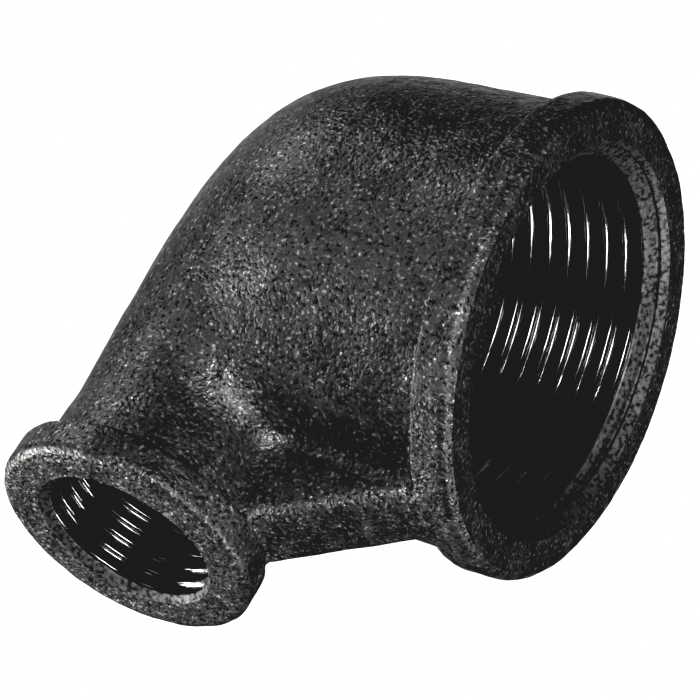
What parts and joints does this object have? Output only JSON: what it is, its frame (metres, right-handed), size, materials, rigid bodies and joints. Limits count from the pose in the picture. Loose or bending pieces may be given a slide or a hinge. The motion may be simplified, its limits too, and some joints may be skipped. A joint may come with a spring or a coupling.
{
  "type": "pipe elbow",
  "caption": "Banded 90 degree reducing pipe elbow in black malleable iron, with a female pipe thread in each end and a web across its inner corner.",
  "frame": {"origin": "centre of the large mouth, on its end face", "axes": "+X points out of the large mouth, -Y points out of the small mouth, and both bores lie in the plane Z = 0"},
  "size_m": [0.0486, 0.0639, 0.0518],
  "materials": {
    "cast_skin": "as cast, black, gritty",
    "cut_thread": "machined, dark and bright on the crests"
  },
  "bodies": {
    "root": {"barrel_wall": "cast_skin", "bend_wall": "cast_skin", "neck_wall": "cast_skin", "large_band": "cast_skin", "small_band": "cast_skin", "web": "cast_skin", "large_thread": "cut_thread", "small_thread": "cut_thread"}
  },
  "joints": []
}
